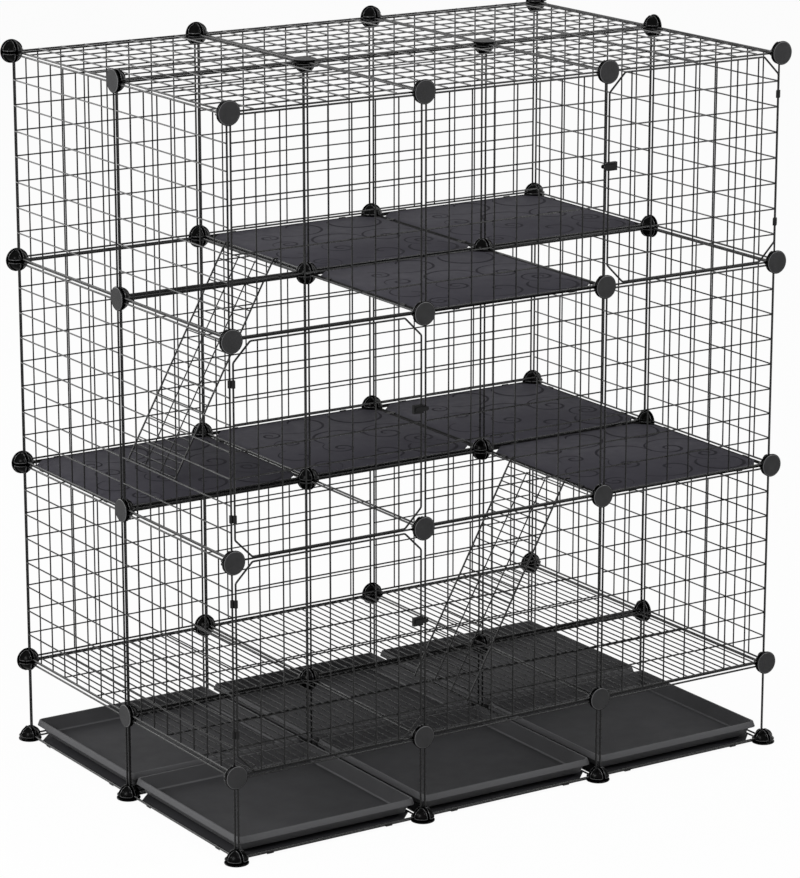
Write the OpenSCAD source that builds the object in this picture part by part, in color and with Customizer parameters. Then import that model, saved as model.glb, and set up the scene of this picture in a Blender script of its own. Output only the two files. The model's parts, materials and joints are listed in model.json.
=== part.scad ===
/* [Wire panels] */
// Outer size of one square panel
panel = 350; // [330:1:370]
// Room between the outer edges of two panels that meet at a post
post_gap = 5; // [4.6:0.1:6]
// Diameter of the wire round each panel
frame_wire = 3.2; // [2.8:0.1:3.4]
// Diameter of the thin wires inside a panel
mesh_wire = 2.2; // [1.6:0.1:2.4]
// Squares along one side of a wall panel
wall_cells = 8; // [7:1:10]
// Gaps between the close wires of a floor grid
floor_cells = 22; // [16:1:26]
// Inner radius of a panel's bent corner, to the middle of the wire
bend_r = 6; // [5:0.5:7]
// Height of the floor grids over the nodes of the feet
leg_height = 141; // [120:1:180]

/* [Connectors] */
// Diameter of a connector's round cap
cap_d = 40; // [36:0.5:44]
// Thickness of a connector's round cap
cap_thick = 3; // [2.4:0.1:4]
// How far the slotted dome stays inside the rim of the cap
dome_inset = 0.5; // [0.3:0.1:2]
// Clearance between a slot and the wire that it grips
slot_play = 0.25; // [0.15:0.05:0.35]
// Half the size of the solid core where the slots end
core_half = 4.2; // [3:0.1:4.3]

/* [Shelves] */
// Thickness of a shelf sheet
sheet_thick = 2.4; // [1.6:0.1:3.2]
// Clearance round a shelf sheet inside its wire frame
sheet_play = 0.3; // [0.2:0.05:0.6]
// Length of each clip that holds a sheet on its wire
sheet_clip = 12; // [8:1:20]
// Wall of each clip round the wire
clip_wall = 1.1; // [0.9:0.1:1.3]
// Width of the mouth by which a clip snaps over the wire
clip_mouth = 2.6; // [2:0.1:3]

/* [Doors] */
// Length of a door's edge that each of its cut corners takes away
door_corner = 31; // [28:1:40]
// Height of each hinge clip
hinge_clip = 12; // [8:1:20]
// Wall of a hinge clip round the wire
hinge_wall = 1.4; // [1.2:0.1:1.6]
// Running clearance of hinges and latch pivots
run_play = 0.3; // [0.25:0.05:0.4]
// Height of the plate that carries a door's turn button
latch_plate = 14; // [12:1:20]
// Half the thickness of that plate
latch_half = 3; // [2.8:0.1:3.2]
// Distance from the door's edge wire to the pivot of the turn button
latch_in = 10; // [8.5:0.5:14]
// Diameter of the turn button's hub
hub_d = 6; // [5:0.5:7]
// Thickness of each of the turn button's two leaves
leaf = 1.5; // [1.2:0.1:1.5]
// Width of the leaves
leaf_w = 7; // [6:0.5:9]
// How far the leaves reach past the neighbour's wire
leaf_past = 3.5; // [2.5:0.5:5]

/* [Trays] */
// Room between a tray's rim and the outer size of a panel
rim_room = 10; // [9:1:20]
// Height of a tray
tray_h = 26; // [22:1:40]
// Thickness of a tray's walls and floor
tray_wall = 2; // [1.6:0.1:3]
// Height of the skirt that hangs from a tray's rim
skirt_h = 9; // [6:0.5:12]
// Gap between that skirt and the bowl inside it
skirt_gap = 2; // [1:0.1:4]
// Radius of the corners of a tray's rim
tray_corner = 10; // [8:1:24]
// Room between a tray's bowl and the domes of the feet
dome_room = 1.5; // [1:0.5:6]
// Clearance under a tray
tray_play = 0.3; // [0.2:0.05:0.5]
// Height of the tray runners over the lower wire of the leg frames
runner_rise = 0.2; // [0.1:0.1:1]
// Distance between the two runners under a tray
runner_apart = 114; // [106:2:122]
// Width of a runner
runner_w = 6; // [4:0.5:10]
// Length of a runner
runner_l = 280; // [240:5:300]

/* [Ramps] */
// Width of a ramp, between the middles of its outer wires
ramp_w = 160; // [120:2:180]
// Slope of a ramp, in degrees from level
ramp_slope = 61; // [58:0.5:66]
// Diameter of a ramp's outer wires
ramp_wire = 3.2; // [3:0.1:3.4]
// Diameter of a ramp's rungs and inner wires
rung_wire = 2.2; // [1.8:0.1:2.4]
// Number of rungs
rungs = 30; // [24:1:34]
// Distance along a ramp from its hook to its first rung
rung_start = 12; // [10:1:20]
// Clearance between a ramp and what it hooks over and stands on
ramp_play = 0.3; // [0.2:0.05:0.5]
// Angle that each hook covers after the straight wire, in degrees
hook_turn = 90; // [80:1:100]

/* [Hidden] */
$fn = 32;

// The plan: three columns along X, two rows along Y, three tiers
columns = 3;
rows = 2;
tiers = 3;
// Cells, as column and row, that have a shelf or an open frame at the two shelf levels
upper_shelves = [[1, 1], [2, 1], [1, 0]];
upper_open = [[0, 0], [0, 1], [2, 0]];
lower_shelves = [[0, 1], [1, 1], [2, 1], [2, 0]];
lower_open = [[0, 0], [1, 0]];

// Distances between the middles of wires, and of a wire from its post
pitch = panel + post_gap;
span = panel - frame_wire;
off = (pitch - span) / 2;
slot_half = frame_wire / 2 + slot_play;
foot_node = cap_thick + slot_half;
dome_r = cap_d / 2 - dome_inset;
// Mesh wires lie in two layers, a hair apart, and end in small welds on the frame wire
layer_gap = 0.1;
mesh_lift = (mesh_wire + layer_gap) / 2;
weld = mesh_wire + 0.2;
weld_in = 3.3;
weld_out = 0.3;
weld_sink = 0.3;
wire_end = 0.8;
brace_end = 1.2;
brace_wire = frame_wire - 0.3;
far = 2 * cap_d;

function post_x(i) = (i - columns / 2) * pitch;
function post_y(j) = (j - rows / 2) * pitch;
function level(k) = foot_node + leg_height + k * pitch;
function edge(p, i) = p[(i + 1) % len(p)] - p[i];
function heading(v) = atan2(v[1], v[0]);
function turn(p, i) = (heading(edge(p, i)) - heading(edge(p, (i + len(p) - 1) % len(p))) + 720) % 360;
function rectangle(w, h) = [[-w / 2, -h / 2], [w / 2, -h / 2], [w / 2, h / 2], [-w / 2, h / 2]];
function cut_rectangle(w, h, c) = [
  [-w / 2 + c, -h / 2], [w / 2 - c, -h / 2], [w / 2, -h / 2 + c], [w / 2, h / 2 - c],
  [w / 2 - c, h / 2], [-w / 2 + c, h / 2], [-w / 2, h / 2 - c], [-w / 2, -h / 2 + c]];
// Outline of a square with round corners of n steps each
function rounded(w, r, n = 6) = [
  for (q = [0 : 3], s = [0 : n])
    let (a = 90 * q + 90 * s / n, c = w / 2 - r, m = 90 * q + 45)
      [sign(cos(m)) * c + r * cos(a), sign(sin(m)) * c + r * sin(a)]];

// Places for wall cells and level cells
module in_front_plane(i, j, k) {
  translate([post_x(i + 0.5), post_y(j), level(k) + pitch / 2]) rotate([90, 0, 0]) children();
}
module in_side_plane(i, j, k) {
  translate([post_x(i), post_y(j + 0.5), level(k) + pitch / 2]) rotate([90, 0, 90]) children();
}
module in_level(i, j, k) {
  translate([post_x(i + 0.5), post_y(j + 0.5), level(k)]) children();
}

// A closed loop of bent wire through the given corners
module wire_loop(p) {
  for (i = [0 : len(p) - 1]) {
    e = edge(p, i);
    here = turn(p, i);
    t0 = bend_r * tan(here / 2);
    t1 = bend_r * tan(turn(p, (i + 1) % len(p)) / 2);
    translate([p[i][0], p[i][1], 0]) rotate([0, 0, heading(e)]) {
      translate([t0, 0, 0]) rotate([0, 90, 0]) cylinder(h = norm(e) - t0 - t1, d = frame_wire);
      translate([t0, bend_r, 0]) rotate([0, 0, -90 - here])
        rotate_extrude(angle = here, $fn = 64) translate([bend_r, 0]) circle(d = frame_wire);
    }
  }
}

// A straight thin wire along Y with a weld at each end, between frame wires a length apart
module welded_wire(length, wire) {
  cut = weld_in - wire_end;
  rotate([90, 0, 0]) cylinder(h = length - 2 * cut, d = wire, center = true);
  for (s = [-1, 1])
    translate([0, s * (length / 2 + (weld_out - weld_in) / 2), 0])
      cube([wire + weld - mesh_wire, weld_in + weld_out, wire + weld - mesh_wire], center = true);
}

module wire_row(count, width, length, lift) {
  for (i = [1 : count - 1])
    translate([-width / 2 + i * width / count, 0, lift]) welded_wire(length, mesh_wire);
}

module mesh(across, along) {
  wire_row(across, span, span, mesh_lift);
  rotate([0, 0, 90]) wire_row(along, span, span, -mesh_lift);
}

module wall_panel() {
  color("dimgray") union() {
    wire_loop(rectangle(span, span));
    mesh(wall_cells, wall_cells);
  }
}

// Two wires across the back of the close wires keep a floor grid flat
floor_cross = 3;
module floor_grid() {
  color("slategray") union() {
    wire_loop(rectangle(span, span));
    mesh(floor_cells, floor_cross);
  }
}

// A door's outer wires: four straight sides, and a thinner brace welded across each corner
module braced_loop() {
  side = span - 2 * door_corner;
  for (a = [0, 90, 180, 270]) rotate([0, 0, a]) {
    translate([span / 2, 0, 0]) rotate([90, 0, 0])
      cylinder(h = side + 2 * brace_end, d = frame_wire, center = true);
    translate([(side + door_corner) / 2, (side + door_corner) / 2, 0]) rotate([90, 0, 45])
      cylinder(h = door_corner * sqrt(2), d = brace_wire, center = true);
  }
}

module door_panel() {
  color("steelblue") union() {
    braced_loop();
    mesh(wall_cells, wall_cells);
  }
}

module open_frame(height = span) {
  color("gray") wire_loop(rectangle(span, height));
}

leg_span = leg_height - 2 * off;
module leg_frame_front(i, j) {
  translate([post_x(i + 0.5), post_y(j), foot_node + leg_height / 2]) rotate([90, 0, 0])
    open_frame(leg_span);
}
module leg_frame_side(i, j) {
  translate([post_x(i), post_y(j + 0.5), foot_node + leg_height / 2]) rotate([90, 0, 90])
    open_frame(leg_span);
}

// Three crossing slots around a solid core, for panels in all three planes
module slots() {
  difference() {
    for (a = [[0, 0, 0], [90, 0, 0], [0, 90, 0]])
      rotate(a) cube([far, far, 2 * slot_half], center = true);
    cube(2 * core_half, center = true);
  }
}

module cap_connector() {
  color("black") union() {
    translate([0, 0, -slot_half - cap_thick]) cylinder(h = cap_thick, d = cap_d, $fn = 64);
    difference() {
      sphere(r = dome_r, $fn = 64);
      slots();
      translate([-far / 2, -far / 2, -far]) cube([far, far, far - slot_half]);
    }
    translate([-core_half, -core_half, -slot_half - cap_thick / 2])
      cube([2 * core_half, 2 * core_half, slot_half + cap_thick / 2]);
  }
}

module ball_connector() {
  color("black") difference() {
    sphere(r = dome_r, $fn = 64);
    slots();
  }
}

// A sheet that fits inside a wire frame, with corners cut clear of the connectors and clips on each side
sheet_w = span - frame_wire - 2 * sheet_play;
corner_room = 4.5;
sheet_corner = (cap_d / 2 + corner_room) * sqrt(2) - (pitch - sheet_w);
clip_at = 0.33;
module shelf_sheet() {
  color("darkslategray") union() {
    translate([0, 0, -sheet_thick / 2]) linear_extrude(height = sheet_thick)
      polygon(cut_rectangle(sheet_w, sheet_w, sheet_corner));
    for (a = [0, 90, 180, 270], s = [-1, 1])
      rotate([0, 0, a]) translate([span / 2, s * clip_at * sheet_w, 0]) sheet_snap();
  }
}
module sheet_snap() {
  difference() {
    rotate([90, 0, 0]) cylinder(h = sheet_clip, r = slot_half + clip_wall, center = true);
    rotate([90, 0, 0]) cylinder(h = 2 * sheet_clip, r = slot_half, center = true);
    translate([-clip_mouth / 2, -sheet_clip, -far]) cube([clip_mouth, 2 * sheet_clip, far]);
  }
}

// A base sheet lies in a base frame; its two runners let a tray pass over the leg frames' lower wire
runner_top = off + frame_wire / 2 + runner_rise;
runner_edge = 1;
module runner() {
  low = sheet_thick / 2 - weld_sink;
  half = runner_w / 2;
  rotate([90, 0, 0]) linear_extrude(height = runner_l, center = true)
    polygon([[-half, low], [half, low], [half, runner_top - runner_edge], [half - runner_edge, runner_top],
             [runner_edge - half, runner_top], [-half, runner_top - runner_edge]]);
}
module base_sheet() {
  color("darkslategray") union() {
    shelf_sheet();
    for (s = [-1, 1]) translate([s * runner_apart / 2, 0, 0]) runner();
  }
}
module in_base(i, j) {
  translate([post_x(i + 0.5), post_y(j + 0.5), foot_node]) children();
}

// Height of the middle of a mesh square over the lower edge wire of a panel
function cell_mid(n) = off + (n + 0.5) * span / wall_cells;

// Ties a door's edge wire to the edge wire of the wall round the corner; the post is at the origin
module hinge_clip_pair(k) {
  bore = frame_wire + 2 * run_play;
  color("black") for (n = [1, wall_cells - 2])
    translate([0, 0, level(k) + cell_mid(n) - hinge_clip / 2]) linear_extrude(height = hinge_clip)
      difference() {
        for (c = [[off, 0], [0, off]]) translate(c) circle(d = bore + 2 * hinge_wall);
        for (c = [[off, 0], [0, off]]) translate(c) circle(d = bore);
      }
}

// Latch parts, with the post at the origin, the door on its -X side and the middle of its height at z 0
latch_x = -off - latch_in;
plate_edge = 2;
module latch_carrier() {
  left = latch_x - hub_d / 2 - run_play - plate_edge;
  right = -off + slot_half + clip_wall;
  color("black") difference() {
    translate([left, -latch_half, -latch_plate / 2]) cube([right - left, 2 * latch_half, latch_plate]);
    translate([-off, 0, 0]) cylinder(h = 2 * latch_plate, r = slot_half, center = true);
    translate([latch_x, 0, 0]) rotate([90, 0, 0])
      cylinder(h = 3 * latch_half, d = hub_d + 2 * run_play, center = true);
  }
}
module turn_button() {
  reach = off - latch_x + leaf_past - leaf_w / 2;
  inner = latch_half + run_play;
  color("firebrick") translate([latch_x, 0, 0]) rotate([90, 0, 0]) union() {
    cylinder(h = 2 * (inner + leaf), d = hub_d, center = true);
    for (z = [-inner - leaf, inner]) translate([0, 0, z]) linear_extrude(height = leaf) {
      circle(d = leaf_w);
      translate([0, -leaf_w / 2]) square([reach, leaf_w]);
      translate([reach, 0]) circle(d = leaf_w);
    }
  }
}
latch_cell = 4;
module at_latch(i, k, flip) {
  translate([post_x(i), post_y(0), level(k) + cell_mid(latch_cell)]) mirror([flip, 0, 0]) children();
}

// A tray: a bowl with sloping walls inside a hanging skirt
tray_rim = panel - rim_room;
bowl_top = tray_rim - 2 * (tray_wall + skirt_gap);
bowl_low = pitch - 2 * (dome_r + dome_room);
tray_low = foot_node + runner_top + tray_play;
module tapered(low, top, height, r) {
  linear_extrude(height = height, scale = top / low) polygon(rounded(low, r));
}
module tray() {
  color("dimgray") difference() {
    union() {
      tapered(bowl_low, bowl_top, tray_h, tray_corner);
      translate([0, 0, tray_h - skirt_h]) difference() {
        linear_extrude(height = skirt_h) polygon(rounded(tray_rim, tray_corner));
        translate([0, 0, -1]) linear_extrude(height = skirt_h - tray_wall + 1)
          polygon(rounded(tray_rim - 2 * tray_wall, tray_corner - tray_wall));
      }
    }
    translate([0, 0, tray_wall])
      tapered(bowl_low - 2 * tray_wall, bowl_top - 2 * tray_wall, tray_h, tray_corner - tray_wall);
  }
}
module tray_in(i, j) {
  translate([post_x(i + 0.5), post_y(j + 0.5), tray_low]) tray();
}

// A ramp, with the crossing that its hooks go round at the origin; it stands on a surface at height foot
hook_r = off + frame_wire / 2 + ramp_play + ramp_wire / 2;
module ramp(foot) {
  start = [hook_r * cos(90 + ramp_slope), hook_r * sin(90 + ramp_slope)];
  end_z = foot + ramp_play + ramp_wire / 2 * cos(ramp_slope);
  length = (start[1] - end_z) / sin(ramp_slope);
  color("gray") translate([start[0], 0, start[1]]) rotate([0, 270 - ramp_slope, 0]) union() {
    for (s = [-1, 1]) translate([-hook_r, s * ramp_w / 2, 0]) rotate([90, 0, 0]) rotate([0, 0, -hook_turn])
      rotate_extrude(angle = hook_turn, $fn = 64) translate([hook_r, 0]) circle(d = ramp_wire);
    ladder(length);
  }
}

// Rungs along Z between two outer wires, with two inner wires behind them that the end rungs carry
inner_share = 1 / 6;
end_room = 6;
module ladder(length) {
  step = (length - rung_start - end_room) / (rungs - 1);
  for (s = [-1, 1]) translate([0, s * ramp_w / 2, 0]) cylinder(h = length, d = ramp_wire);
  for (n = [0 : rungs - 1]) {
    sunk = n == 0 || n == rungs - 1 ? rung_wire / 2 : 0;
    translate([-sunk, 0, rung_start + n * step]) welded_wire(ramp_w, rung_wire);
  }
  for (s = [-1, 1])
    translate([-rung_wire - layer_gap / 2, s * inner_share * ramp_w, rung_start - end_room / 2])
      cylinder(h = length - rung_start, d = rung_wire);
}

module front_connectors() {
  for (i = [0 : columns], k = [0 : tiers])
    translate([post_x(i), post_y(0), level(k)]) rotate([-90, 0, 0]) cap_connector();
}
module back_connectors() {
  for (i = [0 : columns], k = [0 : tiers])
    translate([post_x(i), post_y(rows), level(k)]) rotate([90, 0, 0]) cap_connector();
}
module side_connectors(i, a) {
  for (k = [0 : tiers]) translate([post_x(i), post_y(1), level(k)]) rotate([0, a, 0]) cap_connector();
}
module roof_connectors() {
  for (i = [1 : columns - 1])
    translate([post_x(i), post_y(1), level(tiers)]) rotate([180, 0, 0]) cap_connector();
}
module inner_connectors() {
  for (i = [1 : columns - 1], k = [0 : tiers - 1])
    translate([post_x(i), post_y(1), level(k)]) ball_connector();
}
module foot_connectors() {
  for (i = [0 : columns], j = [0 : rows]) translate([post_x(i), post_y(j), foot_node]) cap_connector();
}

for (i = [0, 1]) in_front_plane(i, 0, 2) wall_panel();  // front_top_panels
for (i = [1, 2]) in_front_plane(i, 0, 1) wall_panel();  // front_middle_panels
for (i = [1, 2]) in_front_plane(i, 0, 0) wall_panel();  // front_bottom_panels
for (i = [0 : 2]) in_front_plane(i, rows, 2) wall_panel();  // back_top_panels
for (i = [0 : 2]) in_front_plane(i, rows, 1) wall_panel();  // back_middle_panels
for (i = [0 : 2]) in_front_plane(i, rows, 0) wall_panel();  // back_bottom_panels
for (j = [0, 1]) in_side_plane(0, j, 2) wall_panel();  // left_top_panels
for (j = [0, 1]) in_side_plane(0, j, 1) wall_panel();  // left_middle_panels
for (j = [0, 1]) in_side_plane(0, j, 0) wall_panel();  // left_bottom_panels
for (j = [0, 1]) in_side_plane(columns, j, 2) wall_panel();  // right_top_panels
for (j = [0, 1]) in_side_plane(columns, j, 1) wall_panel();  // right_middle_panels
for (j = [0, 1]) in_side_plane(columns, j, 0) wall_panel();  // right_bottom_panels
for (i = [0 : 2], j = [0, 1]) in_level(i, j, 3) wall_panel();  // roof_panels
for (i = [0 : 2], j = [0, 1]) in_level(i, j, 0) floor_grid();  // floor_grids
in_front_plane(2, 0, 2) door_panel();  // top_door
in_front_plane(0, 0, 1) door_panel();  // middle_door
in_front_plane(0, 0, 0) door_panel();  // bottom_door
translate([post_x(3), post_y(0), 0]) mirror([1, 0, 0]) hinge_clip_pair(2);  // top_door_hinge_clips
translate([post_x(0), post_y(0), 0]) hinge_clip_pair(1);  // middle_door_hinge_clips
translate([post_x(0), post_y(0), 0]) hinge_clip_pair(0);  // bottom_door_hinge_clips
at_latch(2, 2, 1) latch_carrier();  // top_door_latch_plate
at_latch(1, 1, 0) latch_carrier();  // middle_door_latch_plate
at_latch(1, 0, 0) latch_carrier();  // bottom_door_latch_plate
at_latch(2, 2, 1) turn_button();  // top_door_turn_button
at_latch(1, 1, 0) turn_button();  // middle_door_turn_button
at_latch(1, 0, 0) turn_button();  // bottom_door_turn_button
for (c = upper_open) in_level(c[0], c[1], 2) open_frame();  // upper_open_frames
for (c = lower_open) in_level(c[0], c[1], 1) open_frame();  // lower_open_frames
for (c = upper_shelves) in_level(c[0], c[1], 2) open_frame();  // upper_shelf_frames
for (c = lower_shelves) in_level(c[0], c[1], 1) open_frame();  // lower_shelf_frames
for (c = upper_shelves) in_level(c[0], c[1], 2) shelf_sheet();  // upper_shelf_sheets
for (c = lower_shelves) in_level(c[0], c[1], 1) shelf_sheet();  // lower_shelf_sheets
for (i = [0 : 2]) in_front_plane(i, 1, 2) open_frame();  // top_divider_frames
for (i = [0 : 2]) in_front_plane(i, 1, 1) open_frame();  // middle_divider_frames
for (i = [0 : 2]) in_front_plane(i, 1, 0) open_frame();  // bottom_divider_frames
for (k = [0 : 2]) in_side_plane(1, 1, k) open_frame();  // cross_divider_frames
for (i = [0 : 2]) leg_frame_front(i, 0);  // front_leg_frames
for (i = [0 : 2]) leg_frame_front(i, rows);  // back_leg_frames
for (j = [0, 1]) leg_frame_side(0, j);  // left_leg_frames
for (j = [0, 1]) leg_frame_side(columns, j);  // right_leg_frames
union() {  // inner_leg_frames
  for (i = [0 : 2]) leg_frame_front(i, 1);
  leg_frame_side(1, 1);
}
for (i = [0 : 2], j = [0, 1]) in_base(i, j) open_frame();  // base_frames
for (i = [0 : 2], j = [0, 1]) in_base(i, j) base_sheet();  // base_sheets
tray_in(0, 0);  // tray_front_left
tray_in(1, 0);  // tray_front_middle
tray_in(2, 0);  // tray_front_right
tray_in(0, 1);  // tray_back_left
tray_in(1, 1);  // tray_back_middle
tray_in(2, 1);  // tray_back_right
translate([post_x(1), post_y(1.5), level(2)]) ramp(sheet_thick / 2 - pitch);  // upper_ramp
translate([post_x(2), post_y(0.5), level(1)]) ramp(mesh_lift + weld / 2 - pitch);  // lower_ramp
front_connectors();
back_connectors();
side_connectors(0, 90);  // left_connectors
side_connectors(columns, -90);  // right_connectors
roof_connectors();
inner_connectors();
foot_connectors();
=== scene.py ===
import json
import math

import bpy
import numpy as np
from mathutils import Matrix


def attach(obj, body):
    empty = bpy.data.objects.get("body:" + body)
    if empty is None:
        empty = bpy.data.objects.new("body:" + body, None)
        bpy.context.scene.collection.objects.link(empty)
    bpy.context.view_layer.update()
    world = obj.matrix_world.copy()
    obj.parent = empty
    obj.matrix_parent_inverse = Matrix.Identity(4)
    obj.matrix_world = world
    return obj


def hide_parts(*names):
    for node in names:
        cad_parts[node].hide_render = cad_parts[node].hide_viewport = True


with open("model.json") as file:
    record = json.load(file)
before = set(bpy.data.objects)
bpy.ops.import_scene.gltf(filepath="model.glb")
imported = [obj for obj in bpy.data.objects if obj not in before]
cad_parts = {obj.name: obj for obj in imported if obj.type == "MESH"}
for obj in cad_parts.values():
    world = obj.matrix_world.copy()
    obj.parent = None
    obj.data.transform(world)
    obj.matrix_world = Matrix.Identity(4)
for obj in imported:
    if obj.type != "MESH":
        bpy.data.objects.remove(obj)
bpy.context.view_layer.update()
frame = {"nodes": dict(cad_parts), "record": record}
record = frame["record"]
BODY_OF = {node: body for body, nodes in record["behaviour"]["bodies"].items() for node in nodes}

# Sizes of the cage, in metres
PANEL = 0.350
POST_GAP = 0.005
FRAME_WIRE = 0.0032
MESH_WIRE = 0.0022
BEND = 0.006
PITCH = PANEL + POST_GAP
SPAN = PANEL - FRAME_WIRE
OFF = (PITCH - SPAN) / 2
LEG = 0.141
CAP_R = 0.020
CAP_THICK = 0.003
SLOT = 0.00185
DOME_R = 0.0195
CORE = 0.0042
FOOT = CAP_THICK + SLOT

# What the cage holds, counted in panels
COLUMNS, ROWS, TIERS = 3, 2, 3
COLUMN_RANGE, ROW_RANGE = range(COLUMNS), range(ROWS)
WALL_CELLS, FLOOR_CELLS, FLOOR_CROSS = 8, 22, 3
UPPER_SHELVES = [(1, 1), (2, 1), (1, 0)]
UPPER_OPEN = [(0, 0), (0, 1), (2, 0)]
LOWER_SHELVES = [(0, 1), (1, 1), (2, 1), (2, 0)]
LOWER_OPEN = [(0, 0), (1, 0)]

# Drawn a little thicker than they are: the mesh wires, because thin dark wires on white come out
# paler, and the shelves' edge wires, so that no white slit shows between neighbouring shelves
MESH_DRAWN = 0.0025
SHELF_WIRE_DRAWN = 0.0036


def post_x(i):
    return (i - COLUMNS / 2) * PITCH


def post_y(j):
    return (j - ROWS / 2) * PITCH


def level(k):
    return FOOT + LEG + k * PITCH


# A place is a 3 by 3 turn and a shift
FLAT = np.eye(3)
FACING_FRONT = np.array([[1, 0, 0], [0, 0, -1], [0, 1, 0]], float)
FACING_SIDE = np.array([[0, 0, 1], [1, 0, 0], [0, 1, 0]], float)


def place(turn, x, y, z):
    return turn, np.array([x, y, z], float)


def in_front_plane(i, j, k):
    return place(FACING_FRONT, post_x(i + 0.5), post_y(j), level(k) + PITCH / 2)


def in_side_plane(i, j, k):
    return place(FACING_SIDE, post_x(i), post_y(j + 0.5), level(k) + PITCH / 2)


def in_level(i, j, k):
    return place(FLAT, post_x(i + 0.5), post_y(j + 0.5), level(k))


def in_base(i, j):
    return place(FLAT, post_x(i + 0.5), post_y(j + 0.5), FOOT)


def leg_front(i, j):
    return place(FACING_FRONT, post_x(i + 0.5), post_y(j), FOOT + LEG / 2)


def leg_side(i, j):
    return place(FACING_SIDE, post_x(i), post_y(j + 0.5), FOOT + LEG / 2)


def turned(degrees, axis="z"):
    angle = math.radians(degrees)
    c, s = round(math.cos(angle), 9), round(math.sin(angle), 9)
    if axis == "z":
        return np.array([[c, -s, 0], [s, c, 0], [0, 0, 1]])
    if axis == "x":
        return np.array([[1, 0, 0], [0, c, -s], [0, s, c]])
    return np.array([[c, 0, s], [0, 1, 0], [-s, 0, c]])


# A form is an array of points and a list of face arrays, each with faces of one size
def join(*forms):
    """All the points one after another, each form's face numbers raised by the points before it."""
    points, faces, start = [], [], 0
    for p, fs in forms:
        points.append(p)
        faces.extend(f + start for f in fs)
        start += len(p)
    return np.concatenate(points), faces


def repeat_faces(faces, count, each):
    """The faces of count copies of a form with each points, one copy after another."""
    steps = np.arange(count)[:, None, None] * each
    return [(f[None] + steps).reshape(-1, f.shape[1]) for f in faces]


def at_places(form, places):
    """Copies of a form, each turned by its place's matrix and then shifted."""
    points, faces = form
    turns = np.array([t for t, _ in places])
    shifts = np.array([s for _, s in places])
    moved = np.einsum("kab,nb->kna", turns, points) + shifts[:, None, :]
    return moved.reshape(-1, 3), repeat_faces(faces, len(places), len(points))


def grid_faces(rows, cols, ring=False, closed=False):
    """Quads between neighbours of a grid of points, by rows. A ring also joins the last column
    to the first, and a closed grid its last row to the first."""
    r = np.arange(rows if closed else rows - 1)
    c = np.arange(cols if ring else cols - 1)
    a, b = np.meshgrid(r, c, indexing="ij")
    a2, b2 = (a + 1) % rows, (b + 1) % cols
    quads = np.stack([a * cols + b, a * cols + b2, a2 * cols + b2, a2 * cols + b], -1)
    return quads.reshape(-1, 4)


def end_faces(sides, rows):
    """The two flat ends of a stack of rings."""
    return [np.arange(sides)[None, ::-1], np.arange(sides)[None] + (rows - 1) * sides]


def stack_faces(rows, sides):
    """A stack of rings as a closed form: its walls and its two ends."""
    return [grid_faces(rows, sides, ring=True)] + end_faces(sides, rows)


def turned_over(faces):
    """The same faces, facing the other way."""
    return [f[:, ::-1] for f in faces]


def around(sides):
    return np.arange(sides) * 2 * np.pi / sides


def wire(path, thick, side, sides=10, closed=False):
    """A round wire: every point p of a flat path carries the circle p + r (cos a . n + sin a . s),
    where s is the direction square to the path's plane and n is s crossed with the heading."""
    path, side = np.asarray(path, float), np.asarray(side, float)
    if closed:
        heading = np.roll(path, -1, 0) - np.roll(path, 1, 0)
    else:
        heading = np.gradient(path, axis=0)
    heading /= np.linalg.norm(heading, axis=1)[:, None]
    out = np.cross(side, heading)
    a = around(sides)
    circle = np.cos(a)[None, :, None] * out[:, None] + np.sin(a)[None, :, None] * side
    points = path[:, None] + thick / 2 * circle
    faces = [grid_faces(len(path), sides, ring=True, closed=closed)]
    if not closed:
        faces += end_faces(sides, len(path))
    return points.reshape(-1, 3), faces


# A rod's ends: the share of its thickness that is rounded off, and the width left there
ROD_ROUNDED, ROD_END = 0.15, 0.72


def rods(starts, ends, thick, sides=8):
    """Straight wires between pairs of points: rings of r (cos a . u + sin a . v) round the line,
    drawn in to a smaller ring at each end."""
    starts = np.atleast_2d(starts).astype(float)
    d = np.atleast_2d(ends).astype(float) - starts
    length = np.linalg.norm(d, axis=1)[:, None]
    d = d / length
    upright = np.abs(d[:, 2:3]) > 0.9
    helper = np.where(upright, [[1.0, 0, 0]], [[0, 0, 1.0]])
    u = np.cross(d, helper)
    u /= np.linalg.norm(u, axis=1)[:, None]
    v = np.cross(d, u)
    a = around(sides)
    circle = np.cos(a)[None, :, None] * u[:, None] + np.sin(a)[None, :, None] * v[:, None]
    edge = np.minimum(ROD_ROUNDED * thick, length / 4)
    along = np.stack([0 * length, edge, length - edge, length], 1)
    size = thick / 2 * np.array([ROD_END, 1, 1, ROD_END])
    points = starts[:, None, None] + along[:, :, None] * d[:, None, None]
    points = points + size[None, :, None, None] * circle[:, None]
    return points.reshape(-1, 3), repeat_faces(stack_faces(4, sides), len(starts), 4 * sides)


def lathe(profile, sides):
    """A turned form: the profile's radius and height carried round Z, with flat ends."""
    profile = np.asarray(profile, float)
    a = around(sides)
    x, y = profile[:, :1] * np.cos(a), profile[:, :1] * np.sin(a)
    points = np.stack([x, y, np.repeat(profile[:, 1:], sides, 1)], -1)
    return points.reshape(-1, 3), stack_faces(len(profile), sides)


# A weld bead's ends against its middle: their width, and how high its straight part reaches
BEAD_END, BEAD_STRAIGHT = 0.66, 0.3
BEAD_SIDES = 6


def beads(spots, r, tall):
    """Small weld beads: six-sided barrels on the given spots."""
    end, straight = BEAD_END * r, BEAD_STRAIGHT * tall
    bead = lathe([(end, -tall), (r, -straight), (r, straight), (end, tall)], BEAD_SIDES)
    return at_places(bead, [(FLAT, s) for s in spots])


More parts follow.
